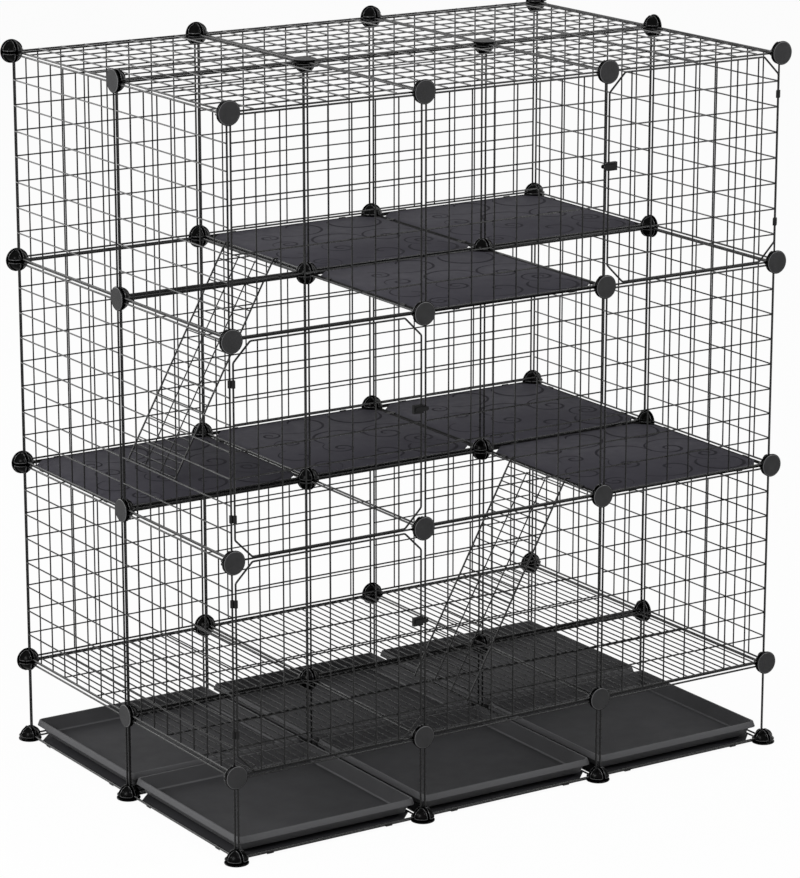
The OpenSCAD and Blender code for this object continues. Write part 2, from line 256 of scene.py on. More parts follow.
def bent_path(corners, r, steps=5):
    """A closed path through corners: at each one an arc of radius r that touches both sides."""
    corners = np.asarray(corners, float)
    path = []
    for n, here in enumerate(corners):
        before = corners[n - 1] - here
        after = corners[(n + 1) % len(corners)] - here
        before, after = before / np.linalg.norm(before), after / np.linalg.norm(after)
        half = math.acos(float(np.clip(before @ after, -1, 1))) / 2
        middle = before + after
        middle = here + middle / np.linalg.norm(middle) * r / math.sin(half)
        first, last = here + before * r / math.tan(half), here + after * r / math.tan(half)
        a0 = math.atan2(*(first - middle)[::-1])
        a1 = math.atan2(*(last - middle)[::-1])
        sweep = (a1 - a0 + math.pi) % (2 * math.pi) - math.pi
        a = a0 + sweep * np.linspace(0, 1, steps + 1)
        path.append(middle + r * np.stack([np.cos(a), np.sin(a)], 1))
    return np.concatenate(path)


def rectangle(w, h):
    return [(-w / 2, -h / 2), (w / 2, -h / 2), (w / 2, h / 2), (-w / 2, h / 2)]


def cut_rectangle(w, h, c):
    return [(-w / 2 + c, -h / 2), (w / 2 - c, -h / 2), (w / 2, -h / 2 + c), (w / 2, h / 2 - c),
            (w / 2 - c, h / 2), (-w / 2 + c, h / 2), (-w / 2, h / 2 - c), (-w / 2, -h / 2 + c)]


def slab(width, depth, tall, corner, edge):
    """A plate with cut corners: four eight-cornered rings, drawn in by the edge at both faces."""
    rings, half = [], tall / 2
    for back, z in ((edge, -half), (0, edge - half), (0, half - edge), (edge, half)):
        ring = cut_rectangle(width - 2 * back, depth - 2 * back, corner)
        rings.append(np.column_stack([ring, np.full(8, z)]))
    return np.concatenate(rings), stack_faces(4, 8)


def block(low, high, edge):
    """A slab between two corners, with its upright edges and its rims cut back alike."""
    low, high = np.asarray(low, float), np.asarray(high, float)
    points, faces = slab(*(high - low), edge, edge)
    return points + (low + high) / 2, faces


# Wire panels, each flat in X and Y round its own middle
FRAME_SIDES = 12
LAYER_GAP = 0.00005
MESH_LIFT = MESH_WIRE / 2 + LAYER_GAP
MESH_SHORT = 0.0004
CROSSING_WELD_R, LAP_WELD_R, WELD_TALL = 0.00125, 0.00135, 0.0009
LAP_SINK = 0.0003
DOOR_CORNER = 0.031


def wire_loop(corners, thick=FRAME_WIRE):
    path = bent_path(corners, BEND)
    path = np.column_stack([path, np.zeros(len(path))])
    return wire(path, thick, (0, 0, 1), FRAME_SIDES, closed=True)


def mesh_wires(across, along):
    """Rows of thin wires, one layer along Y and one along X, with a bead at each weld."""
    x = -SPAN / 2 + np.arange(1, across) * SPAN / across
    y = -SPAN / 2 + np.arange(1, along) * SPAN / along
    end = SPAN / 2 - MESH_SHORT
    up = rods([(v, -end, MESH_LIFT) for v in x], [(v, end, MESH_LIFT) for v in x], MESH_DRAWN)
    flat = rods([(-end, v, -MESH_LIFT) for v in y], [(end, v, -MESH_LIFT) for v in y], MESH_DRAWN)
    crossings = beads([(a, b, 0.0) for a in x for b in y], CROSSING_WELD_R, WELD_TALL)
    lap = SPAN / 2 - FRAME_WIRE / 2 - LAP_SINK
    lap_spots = [(a, s * lap, MESH_LIFT) for a in x for s in (-1, 1)]
    lap_spots += [(s * lap, b, -MESH_LIFT) for b in y for s in (-1, 1)]
    return join(up, flat, crossings, beads(lap_spots, LAP_WELD_R, WELD_TALL))


SQUARE = rectangle(SPAN, SPAN)
OPEN_FRAME = wire_loop(SQUARE)
SHELF_FRAME = wire_loop(SQUARE, SHELF_WIRE_DRAWN)
LEG_FRAME = wire_loop(rectangle(SPAN, LEG - 2 * OFF))
WALL_PANEL = join(OPEN_FRAME, mesh_wires(WALL_CELLS, WALL_CELLS))
FLOOR_GRID = join(OPEN_FRAME, mesh_wires(FLOOR_CELLS, FLOOR_CROSS))
DOOR_PANEL = join(wire_loop(cut_rectangle(SPAN, SPAN, DOOR_CORNER)),
                  mesh_wires(WALL_CELLS, WALL_CELLS))

# Connectors: the ball's petals, its core and the round cap
PETAL_TURNS = [0, 1.6, 4.2, 6.5, 10, 17, 26, 36, 45, 54, 64, 73, 80, 83.5, 85.8, 88.4, 90]
PETAL_FLAT = 0.0180
PETAL_RIB = 0.0013
PETAL_SLOPE = 0.0016
PETAL_SINK = 0.0024
PETAL_CHAMFER, PETAL_CHAMFER_W = 0.0005, 0.0004
# The band on each rib, as its distance in from the slot, that carries a painted highlight
PETAL_HIGHLIGHT_BAND = (0.0006, 0.0014)
CORE_EDGE = 0.0004


def petal():
    """One eighth of a slotted ball: points s + t d on a sphere round the post's middle, for the
    directions d of one octant, where s is the slots' inner corner; the skin sinks inside a rib
    along each slot. Its face lists are the skin, the narrow line on the rib, which carries a
    painted highlight, the tip and the walls."""
    turns = np.radians(PETAL_TURNS)
    n = len(turns)
    lean, swing = np.meshgrid(turns, turns, indexing="ij")
    d = np.stack([np.sin(lean) * np.cos(swing), np.sin(lean) * np.sin(swing), np.cos(lean)], -1)

    def on_sphere(radius):
        b = SLOT * d.sum(-1)
        t = -b + np.sqrt(b * b - 3 * SLOT ** 2 + radius ** 2)
        return SLOT + t[..., None] * d

    inside = (on_sphere(DOME_R) - SLOT).min(-1)
    chamfer = PETAL_CHAMFER * np.clip(1 - inside / PETAL_CHAMFER_W, 0, 1)
    sink = np.clip((inside - PETAL_RIB) / PETAL_SLOPE, 0, 1)
    sink = PETAL_SINK * sink * sink * (3 - 2 * sink)
    skin = np.minimum(on_sphere(DOME_R - chamfer - sink), PETAL_FLAT)
    points = np.concatenate([skin[0, :1], skin[1:].reshape(-1, 3), [[SLOT] * 3]])
    middle = len(points) - 1

    body = grid_faces(n - 1, n)[:, ::-1] + 1
    columns, rows = np.arange(1, n), np.arange(n - 2) * n + 1
    tip = np.stack([np.zeros(n - 1, int), columns, columns + 1], 1)
    left = np.stack([np.full(n - 2, middle), rows, rows + n], 1)[:, ::-1]
    right = np.stack([np.full(n - 2, middle), rows + n - 1, rows + 2 * n - 1], 1)
    last = (n - 2) * n + columns
    low = np.stack([np.full(n - 1, middle), last, last + 1], 1)[:, ::-1]
    walls = np.concatenate([left, right, [[1, 0, middle], [middle, 0, n]], low])
    depth = (inside[1:-1, :-1] + inside[2:, 1:]) / 2
    on_highlight_band = ((depth > PETAL_HIGHLIGHT_BAND[0]) & (depth < PETAL_HIGHLIGHT_BAND[1])).ravel()
    return points, [body[~on_highlight_band], body[on_highlight_band], tip, walls]


def ball(full):
    """Four petals and their core, and four more below on a full ball."""
    up = at_places(petal(), [(turned(90 * q), np.zeros(3)) for q in range(4)])
    core = block((-CORE, -CORE, -CORE if full else -SLOT), (CORE, CORE, CORE), CORE_EDGE)
    if not full:
        return join(up, core)
    return join(up, at_places(up, [(turned(180, "x"), np.zeros(3))]), core)


# The cap's rings, each as the way in from its rim and the way back from its face
CAP_RINGS = [(0.0020, 0), (0.0012, 0.0006), (0.0004, 0.0007), (0, 0.0011)]
CAP_BACK_EDGE = 0.0006
CAP_MIDDLE_R = 0.006
CAP_SIDES = 48


def cap():
    """The round cap: a disc with a flat face, a narrow slope round it, and a dark rim and side.
    Its face lists are the slope, lighter as a painted highlight, the rim and side, the face,
    lighter as painted light, and the back."""
    face = -SLOT - CAP_THICK
    profile = [(CAP_R - inward, face + back) for inward, back in CAP_RINGS]
    profile += [(CAP_R, -SLOT - CAP_BACK_EDGE), (CAP_R - CAP_BACK_EDGE, -SLOT),
                (CAP_MIDDLE_R, -SLOT)]
    points, (walls, front, back) = lathe(profile, CAP_SIDES)
    return points, [walls[:CAP_SIDES], walls[CAP_SIDES:], front, back]


# Finishes: where the clouds' two colours stand in the noise, which part of it moves the
# roughness, how many times finer than the clouds the roughness and the waves are, and how deep
# and strong the two bumps are
CLOUD_STOPS = (0.32, 0.68)
WANDER_RANGE = (0.3, 0.7)
WANDER_FINER, WAVES_FINER = 6, 5
GRAIN_DEPTH, GRAIN_STRENGTH = 0.00006, 0.35
WAVE_DEPTH, WAVE_STRENGTH = 0.00015, 0.12


def finish_nodes(name):
    material = bpy.data.materials.new(name)
    material.use_nodes = True
    nodes, links = material.node_tree.nodes, material.node_tree.links
    return material, nodes, links, nodes["Principled BSDF"]


def noise(nodes, links, where, scale, detail):
    n = nodes.new("ShaderNodeTexNoise")
    n.inputs["Scale"].default_value = scale
    n.inputs["Detail"].default_value = detail
    links.new(where, n.inputs["Vector"])
    return n.outputs["Fac"]


def ramp(nodes, links, value, stops):
    r = nodes.new("ShaderNodeValToRGB")
    for element, (at, colour) in zip(r.color_ramp.elements, stops):
        element.position = at
        element.color = (*colour, 1)
    links.new(value, r.inputs["Fac"])
    return r.outputs["Color"]


def spread(nodes, links, value, low, high, out_low, out_high):
    m = nodes.new("ShaderNodeMapRange")
    limits = {"From Min": low, "From Max": high, "To Min": out_low, "To Max": out_high}
    for key, limit in limits.items():
        m.inputs[key].default_value = limit
    links.new(value, m.inputs["Value"])
    return m.outputs["Result"]


def bump(nodes, links, shader, heights):
    """Chains a bump for each height, its depth in metres and its strength."""
    normal = None
    for height, depth, strength in heights:
        b = nodes.new("ShaderNodeBump")
        b.inputs["Strength"].default_value = strength
        b.inputs["Distance"].default_value = depth
        links.new(height, b.inputs["Height"])
        if normal is not None:
            links.new(normal, b.inputs["Normal"])
        normal = b.outputs["Normal"]
    links.new(normal, shader.inputs["Normal"])


def moulded(name, dark, light, rough, specular, mottle, grain=900):
    """Moulded plastic or paint: two close colours in soft clouds, roughness that wanders between
    two values, soft waves and a fine grain. Mottle and grain are how fine the clouds and the
    grain are, per metre."""
    material, nodes, links, shader = finish_nodes(name)
    where = nodes.new("ShaderNodeTexCoord").outputs["Object"]
    clouds = noise(nodes, links, where, mottle, detail=4)
    colour = ramp(nodes, links, clouds, zip(CLOUD_STOPS, (dark, light)))
    links.new(colour, shader.inputs["Base Color"])
    wander = noise(nodes, links, where, mottle * WANDER_FINER, detail=2)
    wander = spread(nodes, links, wander, *WANDER_RANGE, *rough)
    links.new(wander, shader.inputs["Roughness"])
    grains = noise(nodes, links, where, grain, detail=2)
    waves = noise(nodes, links, where, mottle * WAVES_FINER, detail=1)
    bump(nodes, links, shader, [(grains, GRAIN_DEPTH, GRAIN_STRENGTH),
                                (waves, WAVE_DEPTH, WAVE_STRENGTH)])
    shader.inputs["Specular IOR Level"].default_value = specular
    return material


def grey(value):
    """A written screen grey, 0 to 255, as the shader's linear colour, a touch blue."""
    v = value / 255
    v = v / 12.92 if v <= 0.04045 else ((v + 0.055) / 1.055) ** 2.4
    return (v, v, v * 1.03)


WIRE_PAINT = moulded("black_wire_paint", grey(8), grey(16), (0.22, 0.34), 0.24, 30, 1400)
SHELF_WIRE_PAINT = moulded("shelf_wire_paint", grey(12), grey(20), (0.5, 0.6), 0.05, 30, 1400)
# The cap's face is a grey copy of the black connector plastic: painted light
CAP_PAINTED_LIGHT_PLASTIC = moulded("cap_face_painted_light", grey(46), grey(52), (0.5, 0.6), 0.12, 60)
# A light grey on the cap's narrow slope: painted highlight
CAP_PAINTED_HIGHLIGHT_PLASTIC = moulded("cap_slope_painted_highlight", grey(84), grey(94), (0.35, 0.45), 0.25, 60)
DOME_PLASTIC = moulded("dome_plastic", grey(1), grey(3), (0.18, 0.28), 0.05, 60)
# A light grey for a narrow line on the petals' ribs: painted highlight
DOME_PAINTED_HIGHLIGHT_PLASTIC = moulded("dome_rib_painted_highlight", grey(66), grey(76), (0.25, 0.35), 0.3, 60)
LATCH_PLASTIC = moulded("latch_plastic", grey(12), grey(20), (0.35, 0.5), 0.15, 80)
SHELF_PLASTIC = moulded("shelf_plastic", (0.046, 0.044, 0.054), (0.054, 0.052, 0.063),
                        (0.6, 0.7), 0.04, 10, 500)
# A darker copy of the shelf plastic for the sheets under the trays: painted shade
BASE_PAINTED_SHADE_PLASTIC = moulded("base_sheet_painted_shade", (0.021, 0.021, 0.023), (0.026, 0.026, 0.028),
                       (0.6, 0.7), 0.04, 10, 500)
SCROLL_PLASTIC = moulded("shelf_scroll_lines", (0.014, 0.013, 0.017), (0.019, 0.018, 0.023),
                         (0.6, 0.7), 0.02, 20)
# A darker copy of the tray plastic for the floor and underside: painted shade
TRAY_PAINTED_SHADE_PLASTIC = moulded("tray_plastic", (0.044, 0.044, 0.046), (0.050, 0.050, 0.053),
                       (0.55, 0.65), 0.05, 6, 700)
TRAY_WALL_PLASTIC = moulded("tray_wall_plastic", (0.053, 0.053, 0.055), (0.060, 0.060, 0.063),
                            (0.55, 0.65), 0.05, 6, 700)
# A lighter copy of the tray plastic for the rim, the outer wall and the fillet at the floor:
# painted light, with a painted highlight along the fillet
TRAY_PAINTED_LIGHT_PLASTIC = moulded("tray_rim_painted_light", (0.090, 0.090, 0.093), (0.098, 0.098, 0.102),
                           (0.5, 0.6), 0.08, 6, 700)


# The turn between two faces, in degrees, past which the edge between them is sharp
SHARP_TURN, CONNECTOR_SHARP_TURN = 40, 28


def make_piece(name, forms, nodes, sharp_turn=SHARP_TURN):
    """Puts forms, each with its finish or with one finish for each of its face lists, in one mesh
    that stands for the given nodes."""
    points, faces, finishes, start = [], [], [], 0
    mesh = bpy.data.meshes.new(name)
    for form, material in forms:
        each = material if isinstance(material, list) else [material] * len(form[1])
        points.append(form[0])
        for f, one in zip(form[1], each):
            if one.name not in mesh.materials:
                mesh.materials.append(one)
            faces.append(f + start)
            finishes.append(np.full(len(f), mesh.materials.find(one.name)))
        start += len(form[0])
    points = np.concatenate(points).astype(np.float32)
    corners = np.concatenate([f.ravel() for f in faces])
    sizes = np.concatenate([np.full(len(f), f.shape[1]) for f in faces])
    starts = np.concatenate([[0], np.cumsum(sizes)[:-1]])
    mesh.vertices.add(len(points))
    mesh.vertices.foreach_set("co", points.ravel())
    mesh.loops.add(len(corners))
    mesh.loops.foreach_set("vertex_index", corners.astype(np.int32))
    mesh.polygons.add(len(sizes))
    mesh.polygons.foreach_set("loop_start", starts.astype(np.int32))
    mesh.polygons.foreach_set("material_index", np.concatenate(finishes).astype(np.int32))
    mesh.update(calc_edges=True)
    mesh.shade_smooth()
    mesh.set_sharp_from_angle(angle=math.radians(sharp_turn))
    piece = bpy.data.objects.new(name, mesh)
    bpy.context.scene.collection.objects.link(piece)
    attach(piece, BODY_OF[nodes[0]])
    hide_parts(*nodes)


# Wire panels and frames in their places
TIER_NAMES = ["bottom", "middle", "top"]
FIXED_FRONT = {"top": (0, 1), "middle": (1, 2), "bottom": (1, 2)}
ALL_CELLS = [(i, j) for i in COLUMN_RANGE for j in ROW_RANGE]
WIRE_NODES = {
    "roof_panels": (WALL_PANEL, [in_level(i, j, TIERS) for i, j in ALL_CELLS]),
    "floor_grids": (FLOOR_GRID, [in_level(i, j, 0) for i, j in ALL_CELLS]),
    "top_door": (DOOR_PANEL, [in_front_plane(2, 0, 2)]),
    "middle_door": (DOOR_PANEL, [in_front_plane(0, 0, 1)]),
    "bottom_door": (DOOR_PANEL, [in_front_plane(0, 0, 0)]),
    "upper_open_frames": (OPEN_FRAME, [in_level(i, j, 2) for i, j in UPPER_OPEN]),
    "lower_open_frames": (OPEN_FRAME, [in_level(i, j, 1) for i, j in LOWER_OPEN]),
    "upper_shelf_frames": (SHELF_FRAME, [in_level(i, j, 2) for i, j in UPPER_SHELVES]),
    "lower_shelf_frames": (SHELF_FRAME, [in_level(i, j, 1) for i, j in LOWER_SHELVES]),
    "cross_divider_frames": (OPEN_FRAME, [in_side_plane(1, 1, k) for k in range(TIERS)]),
    "front_leg_frames": (LEG_FRAME, [leg_front(i, 0) for i in COLUMN_RANGE]),
    "back_leg_frames": (LEG_FRAME, [leg_front(i, ROWS) for i in COLUMN_RANGE]),
    "left_leg_frames": (LEG_FRAME, [leg_side(0, j) for j in ROW_RANGE]),
    "right_leg_frames": (LEG_FRAME, [leg_side(COLUMNS, j) for j in ROW_RANGE]),
    "inner_leg_frames": (LEG_FRAME, [leg_front(i, 1) for i in COLUMN_RANGE] + [leg_side(1, 1)]),
    "base_frames": (OPEN_FRAME, [in_base(i, j) for i, j in ALL_CELLS]),
}
for k, tier in enumerate(TIER_NAMES):
    WIRE_NODES.update({
        f"front_{tier}_panels": (WALL_PANEL, [in_front_plane(i, 0, k) for i in FIXED_FRONT[tier]]),
        f"back_{tier}_panels": (WALL_PANEL, [in_front_plane(i, ROWS, k) for i in COLUMN_RANGE]),
        f"left_{tier}_panels": (WALL_PANEL, [in_side_plane(0, j, k) for j in ROW_RANGE]),
        f"right_{tier}_panels": (WALL_PANEL, [in_side_plane(COLUMNS, j, k) for j in ROW_RANGE]),
        f"{tier}_divider_frames": (OPEN_FRAME, [in_front_plane(i, 1, k) for i in COLUMN_RANGE]),
    })
for node, (form, places) in WIRE_NODES.items():
    paint = SHELF_WIRE_PAINT if form is SHELF_FRAME else WIRE_PAINT
    make_piece(node + "_wires", [(at_places(form, places), paint)], [node])

# Connectors on the posts
POST_COLUMNS, POST_LEVELS = range(COLUMNS + 1), range(TIERS + 1)
TO_FRONT, TO_BACK = turned(-90, "x"), turned(90, "x")
TO_LEFT, TO_RIGHT = turned(90, "y"), turned(-90, "y")
WALL_POSTS = [(i, k) for i in POST_COLUMNS for k in POST_LEVELS]
CONNECTORS = {
    "front_connectors": [place(TO_FRONT, post_x(i), post_y(0), level(k)) for i, k in WALL_POSTS],
    "back_connectors": [place(TO_BACK, post_x(i), post_y(ROWS), level(k)) for i, k in WALL_POSTS],
    "left_connectors": [place(TO_LEFT, post_x(0), post_y(1), level(k)) for k in POST_LEVELS],
    "right_connectors": [place(TO_RIGHT, post_x(COLUMNS), post_y(1), level(k))
                         for k in POST_LEVELS],
    "roof_connectors": [place(turned(180, "x"), post_x(i), post_y(1), level(TIERS))
                        for i in (1, 2)],
    "foot_connectors": [place(FLAT, post_x(i), post_y(j), FOOT)
                        for i in POST_COLUMNS for j in range(ROWS + 1)],
}
# The line on each petal's rib carries a painted highlight
PETAL_FINISHES = [DOME_PLASTIC, DOME_PAINTED_HIGHLIGHT_PLASTIC, DOME_PLASTIC, DOME_PLASTIC]
CORE_FINISHES = [DOME_PLASTIC] * 3
# The cap's slope carries a painted highlight and its face painted light; its rim, side and back are
# the plain black plastic
CAP_FINISHES = [CAP_PAINTED_HIGHLIGHT_PLASTIC, DOME_PLASTIC, CAP_PAINTED_LIGHT_PLASTIC, DOME_PLASTIC]
HALF_BALL, FULL_BALL, CAP = ball(False), ball(True), cap()
for node, places in CONNECTORS.items():
    make_piece(node + "_moulded",
               [(at_places(HALF_BALL, places), PETAL_FINISHES + CORE_FINISHES),
                (at_places(CAP, places), CAP_FINISHES)], [node], CONNECTOR_SHARP_TURN)
places = [place(FLAT, post_x(i), post_y(1), level(k)) for i in (1, 2) for k in range(TIERS)]
make_piece("inner_connectors_moulded",
           [(at_places(FULL_BALL, places), PETAL_FINISHES * 2 + CORE_FINISHES)],
           ["inner_connectors"], CONNECTOR_SHARP_TURN)

# Sheets on the shelves and under the trays. Each corner is cut past the connector's rim.
SHEET_PLAY = 0.0003
SHEET = SPAN - FRAME_WIRE - 2 * SHEET_PLAY
SHEET_THICK = 0.0024
SHEET_EDGE = 0.0004
CORNER_ROOM = 0.009
SHEET_CORNER = (CAP_R + CORNER_ROOM) * math.sqrt(2) - (PITCH - SHEET)

# A curl's cross-section, from one side to the other: its place across and its height
SCROLL_ACROSS = np.array([-1, -0.6, 0, 0.6, 1])
SCROLL_ARCH = np.array([-0.3, 0.75, 1, 0.75, -0.3])
SCROLL_TALL = 0.00022
SCROLL_SINK = 0.0002
SCROLL_TIP_W = 0.35
SCROLL_SWELL, SCROLL_FULLNESS = 1.1, 0.6
SCROLL_STEPS = 26


def scroll(x, y, start, turns, small, large, width):
    """A curl: a ribbon along the spiral r = small . (large / small) ^ t, with an arched
    cross-section that stands a little proud of the sheet. Its width is the tip's share and, for
    the rest, the sine of pi times the swell times t, raised to the power of the fullness."""
    t = np.linspace(0, 1, int(SCROLL_STEPS * abs(turns)) + 6)
    a = start + 2 * np.pi * turns * t
    r = small * (large / small) ** t
    line = np.stack([x + r * np.cos(a), y + r * np.sin(a)], 1)
    heading = np.gradient(line, axis=0)
    heading /= np.linalg.norm(heading, axis=1)[:, None]
    out = np.stack([-heading[:, 1], heading[:, 0]], 1)
    swell = np.sin(np.pi * np.clip(t * SCROLL_SWELL, 0, 1)) ** SCROLL_FULLNESS
    half = width / 2 * (SCROLL_TIP_W + (1 - SCROLL_TIP_W) * swell)
    flat = line[:, None] + (SCROLL_ACROSS[None, :, None] * half[:, None, None]) * out[:, None]
    tall = SHEET_THICK / 2 + (SCROLL_ARCH * SCROLL_TALL)[None, :, None]
    points = np.concatenate([flat, np.broadcast_to(tall, (len(t), 5, 1))], -1)
    under = points[:, 2] * [1, 1, 0] + [0, 0, SHEET_THICK / 2 - SCROLL_SINK]
    points = np.concatenate([points, under[:, None]], 1)
    return points.reshape(-1, 3), turned_over(stack_faces(len(t), 6))


# Curls as x, y, inner radius, outer radius, angle of the inner end, turn to the outer end and
# width; lengths in 700ths of a pitch, angles in degrees, a positive turn runs anticlockwise
# seen from above
CURL_UNIT = PITCH / 700
CURLS = [
    (-5, 279, 34, 148, 150, -290, 12), (218, 262, 90, 97, 142, 228, 16),
    (-46, -80, 12, 72, 655, -540, 12), (20, 31, 95, 100, 200, -215, 12),
    (195, 8, 14, 138, 230, -570, 12), (258, -114, 12, 80, -60, 680, 12),
    (225, -232, 80, 86, 122, 285, 15), (52, -190, 11, 145, 250, -410, 12),
    (-168, 62, 11, 60, 30, 520, 10), (-232, -100, 26, 84, 60, -330, 10),
    (-215, -240, 10, 66, 140, -560, 10), (-178, 182, 10, 52, -40, 500, 10),
]


def scroll_lines():
    u = CURL_UNIT
    return join(*[scroll(x * u, y * u, math.radians(start), turn / 360, small * u, large * u,
                         width * u) for x, y, small, large, start, turn, width in CURLS])


CLIP_WALL = 0.0011
CLIP_HALF_MOUTH = 0.0013
CLIP_LENGTH = 0.012
CLIP_PLACE = 0.33
CLIP_STEPS = 19


def sheet_clips():
    """Snap clips: a ring's outline, open below, carried along the wire for the clip's length;
    two on each side of the sheet."""
    inner, outer = SLOT, SLOT + CLIP_WALL
    gap_in, gap_out = math.asin(CLIP_HALF_MOUTH / inner), math.asin(CLIP_HALF_MOUTH / outer)
    a = np.linspace(-np.pi / 2 + gap_out, 1.5 * np.pi - gap_out, CLIP_STEPS)
    b = np.linspace(1.5 * np.pi - gap_in, -np.pi / 2 + gap_in, CLIP_STEPS)
    outline = np.concatenate([outer * np.stack([np.cos(a), np.sin(a)], 1),
                              inner * np.stack([np.cos(b), np.sin(b)], 1)])
    n = len(outline)
    points = np.concatenate([np.column_stack([outline[:, 0], np.full(n, y), outline[:, 1]])
                             for y in (-CLIP_LENGTH / 2, CLIP_LENGTH / 2)])
    clip = points, turned_over(stack_faces(2, n))
    quarters = [turned(90 * q) for q in range(4)]
    return at_places(clip, [(turn, turn @ np.array([SPAN / 2, s * CLIP_PLACE * SHEET, 0]))
                            for turn in quarters for s in (-1, 1)])


RUNNER_PLAY = 0.0002
RUNNER_TOP = OFF + FRAME_WIRE / 2 + RUNNER_PLAY
RUNNER_APART, RUNNER_W, RUNNER_L = 0.114, 0.006, 0.280
RUNNER_SINK = 0.0003
RUNNER_EDGE = 0.0008


def runners():
    low, half = SHEET_THICK / 2 - RUNNER_SINK, RUNNER_W / 2
    return join(*[block((s * RUNNER_APART / 2 - half, -RUNNER_L / 2, low),
                        (s * RUNNER_APART / 2 + half, RUNNER_L / 2, RUNNER_TOP), RUNNER_EDGE)
                  for s in (-1, 1)])


PLATE = slab(SHEET, SHEET, SHEET_THICK, SHEET_CORNER, SHEET_EDGE)
BASE_PLATE = join(PLATE, runners())
CLIPS, LINES = sheet_clips(), scroll_lines()
SHEETS = {
    "upper_shelf_sheets": (PLATE, SHELF_PLASTIC, [in_level(i, j, 2) for i, j in UPPER_SHELVES]),
    "lower_shelf_sheets": (PLATE, SHELF_PLASTIC, [in_level(i, j, 1) for i, j in LOWER_SHELVES]),
    # The base sheets take the darker copy of the shelf plastic, painted shade
    "base_sheets": (BASE_PLATE, BASE_PAINTED_SHADE_PLASTIC, [in_base(i, j) for i, j in ALL_CELLS]),
}
for node, (plate, plastic, places) in SHEETS.items():
    make_piece(node + "_plastic", [(at_places(plate, places), plastic),
                                   (at_places(CLIPS, places), LATCH_PLASTIC),
                                   (at_places(LINES, places), SCROLL_PLASTIC)], [node])

# Trays
TRAY_ROOM = 0.010
TRAY_RIM = PANEL - TRAY_ROOM
TRAY_H = 0.026
TRAY_WALL = 0.002
TRAY_CORNER, TRAY_LEAST_CORNER, TRAY_CORNER_STEPS = 0.010, 0.004, 8
TRAY_PLAY = 0.0003
TRAY_LOW = FOOT + RUNNER_TOP + TRAY_PLAY
FOOT_ROOM = 0.0015
BOWL_TOP = TRAY_RIM / 2 - 2 * TRAY_WALL
BOWL_LOW = PITCH / 2 - DOME_R - FOOT_ROOM

# The wall's section outside and inside, each point as the height at which the leaning wall is
# read, the step outwards from it there, and the point's own height
OUTSIDE_SECTION = [(0, -0.0016, 0), (0, -0.0005, 0.0004), (0.0016, 0, 0.0016),
                   (TRAY_H - 0.0034, 0, TRAY_H - 0.0034),
                   (TRAY_H - 0.0028, 0.0004, TRAY_H - 0.0026)]
INSIDE_SECTION = [(TRAY_H, 0.0011, TRAY_H), (TRAY_H, 0.0003, TRAY_H - 0.0003),
                  (TRAY_H - 0.0012, 0, TRAY_H - 0.0012), (0.0040, 0, 0.0040),
                  (0.0028, -0.0003, 0.0028), (0.0022, -0.0010, 0.0021),
                  (TRAY_WALL, -0.0020, TRAY_WALL)]
# The rim's section, each point as the way in from its edge and down from its top
RIM_SECTION = [(0.0036, 0.0024), (0.0031, 0.0030), (0.0018, 0.0094), (0.0012, 0.0098),
               (0.0002, 0.0096), (0, 0.0088), (0.0024, 0.0012), (0.0029, 0.0003), (0.0037, 0)]
# Rows of the whole section where the rim, the inner wall and the fillet at the floor start
RIM_START, WELL_START, FILLET_START = 7, 15, 17


def tray():
    """The tray's section, from the middle underneath, out and up, over the rim and down to its
    floor, as half widths and heights, carried round a square with round corners. Its face lists
    are the outer wall, the rim, the inner wall, the fillet, the underside and the floor."""
    lean = (BOWL_TOP - BOWL_LOW) / TRAY_H
    rim = TRAY_RIM / 2
    section = [(BOWL_LOW + lean * at + out, z) for at, out, z in OUTSIDE_SECTION]
    section += [(rim - inward, TRAY_H - down) for inward, down in RIM_SECTION]
    section += [(BOWL_LOW + lean * at - TRAY_WALL + out, z) for at, out, z in INSIDE_SECTION]
    rings = []
    for half, z in section:
        corner = max(TRAY_CORNER - (rim - half) / 2, TRAY_LEAST_CORNER)
        ring = bent_path(rectangle(2 * half, 2 * half), corner, TRAY_CORNER_STEPS)
        rings.append(np.column_stack([ring, np.full(len(ring), z)]))
    n = len(rings[0])
    walls, *ends = stack_faces(len(rings), n)
    walls = np.split(walls, [row * n for row in (RIM_START, WELL_START, FILLET_START)])
    return np.concatenate(rings), walls + ends


TRAY = tray()
# The inner wall has the tray's plain plastic; the floor and underside a darker copy, painted shade;
# the rim, the outer wall and the fillet at the floor a lighter copy, painted light
TRAY_FINISHES = [TRAY_PAINTED_LIGHT_PLASTIC, TRAY_PAINTED_LIGHT_PLASTIC, TRAY_WALL_PLASTIC, TRAY_PAINTED_LIGHT_PLASTIC,
                 TRAY_PAINTED_SHADE_PLASTIC, TRAY_PAINTED_SHADE_PLASTIC]
for j, row in enumerate(("front", "back")):
    for i, side in enumerate(("left", "middle", "right")):
        node = f"tray_{row}_{side}"
        spot = place(FLAT, post_x(i + 0.5), post_y(j + 0.5), TRAY_LOW)
        make_piece(node + "_plastic", [(at_places(TRAY, [spot]), TRAY_FINISHES)], [node])

# Ramps
RAMP_W = 0.160
RAMP_SLOPE = math.radians(61)
RAMP_WIRE = 0.0032
RAMP_PLAY = 0.0003
HOOK_R = OFF + FRAME_WIRE / 2 + RAMP_PLAY + RAMP_WIRE / 2
HOOK_STEPS = 9
RUNG_WIRE = 0.0022
RUNGS = 30
RUNG_START = 0.012
RUNG_WELD_R, RUNG_WELD_TALL = 0.0013, 0.0010
END_ROOM = 0.006
GRID_PLAY = 0.0001
ON_SHEET = SHEET_THICK / 2
ON_GRID = MESH_LIFT + MESH_WIRE / 2 + GRID_PLAY


